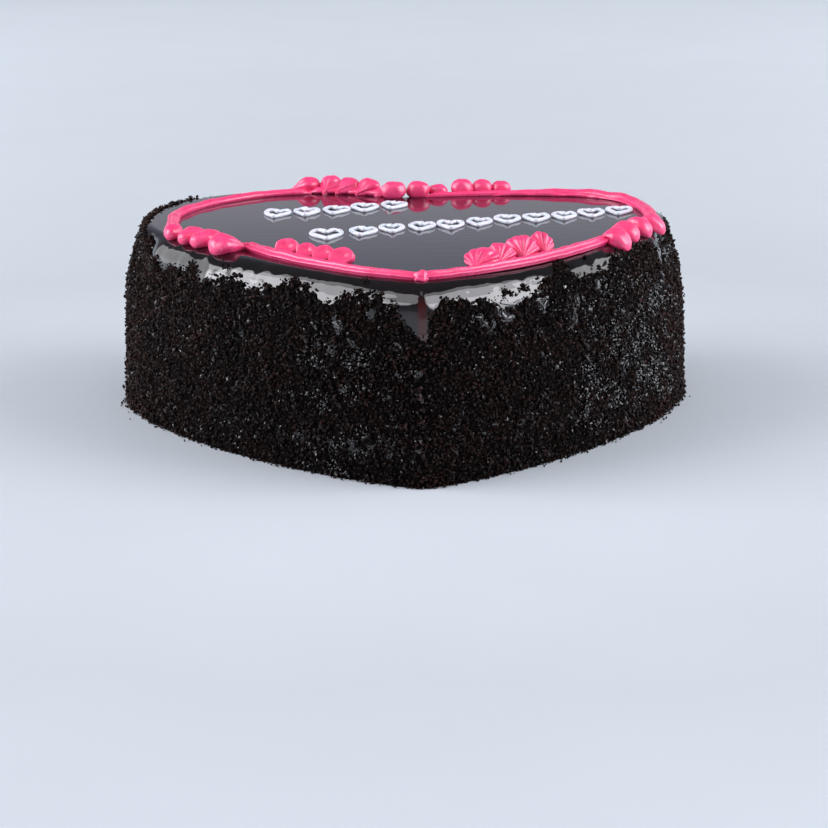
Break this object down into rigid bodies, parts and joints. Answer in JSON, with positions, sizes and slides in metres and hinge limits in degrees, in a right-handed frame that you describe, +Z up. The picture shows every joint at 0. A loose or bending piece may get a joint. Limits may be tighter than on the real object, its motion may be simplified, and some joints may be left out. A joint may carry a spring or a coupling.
{
  "type": "heart-shaped black forest cake",
  "caption": "Uncut heart-shaped cake, sides coated in chocolate crumbs, with a poured dark chocolate glaze, a pink piped border and shells, and small white piped hearts on top.",
  "frame": {"origin": "middle of the bounding box of the underside, on the surface that the cake stands on", "axes": "+Z up; -Y towards the tip of the heart, +Y towards its two lobes; +X to the right seen from the tip"},
  "size_m": [0.223, 0.21, 0.0817],
  "materials": {
    "chocolate_crumbs": "rough dark cake crumbs, nearly black brown",
    "chocolate_glaze": "mirror-gloss dark chocolate glaze",
    "pink_cream": "satin to glossy strong pink piping cream",
    "white_cream": "satin white piping cream"
  },
  "bodies": {
    "root": {"border_back_left": "pink_cream", "border_back_right": "pink_cream", "border_front_left": "pink_cream", "border_front_right": "pink_cream", "border_knot": "pink_cream", "border_notch": "pink_cream", "cake_body": "chocolate_crumbs", "chocolate_glaze": "chocolate_glaze", "shell_back_left_1": "pink_cream", "shell_back_left_2": "pink_cream", "shell_back_left_3": "pink_cream", "shell_back_left_4": "pink_cream", "shell_back_left_5": "pink_cream", "shell_back_right_1": "pink_cream", "shell_back_right_2": "pink_cream", "shell_back_right_3": "pink_cream", "shell_back_right_4": "pink_cream", "shell_back_right_5": "pink_cream", "shell_front_left_1": "pink_cream", "shell_front_left_2": "pink_cream", "shell_front_left_3": "pink_cream", "shell_front_left_4": "pink_cream", "shell_front_right_1": "pink_cream", "shell_front_right_2": "pink_cream", "shell_front_right_3": "pink_cream", "shell_front_right_4": "pink_cream", "shell_left_1": "pink_cream", "shell_left_2": "pink_cream", "shell_left_3": "pink_cream", "shell_left_4": "pink_cream", "shell_right_1": "pink_cream", "shell_right_2": "pink_cream", "shell_right_3": "pink_cream", "shell_right_4": "pink_cream", "white_heart_01": "white_cream", "white_heart_02": "white_cream", "white_heart_03": "white_cream", "white_heart_04": "white_cream", "white_heart_05": "white_cream", "white_heart_06": "white_cream", "white_heart_07": "white_cream", "white_heart_08": "white_cream", "white_heart_09": "white_cream", "white_heart_10": "white_cream", "white_heart_11": "white_cream", "white_heart_12": "white_cream", "white_heart_13": "white_cream", "white_heart_14": "white_cream", "white_heart_15": "white_cream", "white_heart_16": "white_cream"}
  },
  "joints": []
}
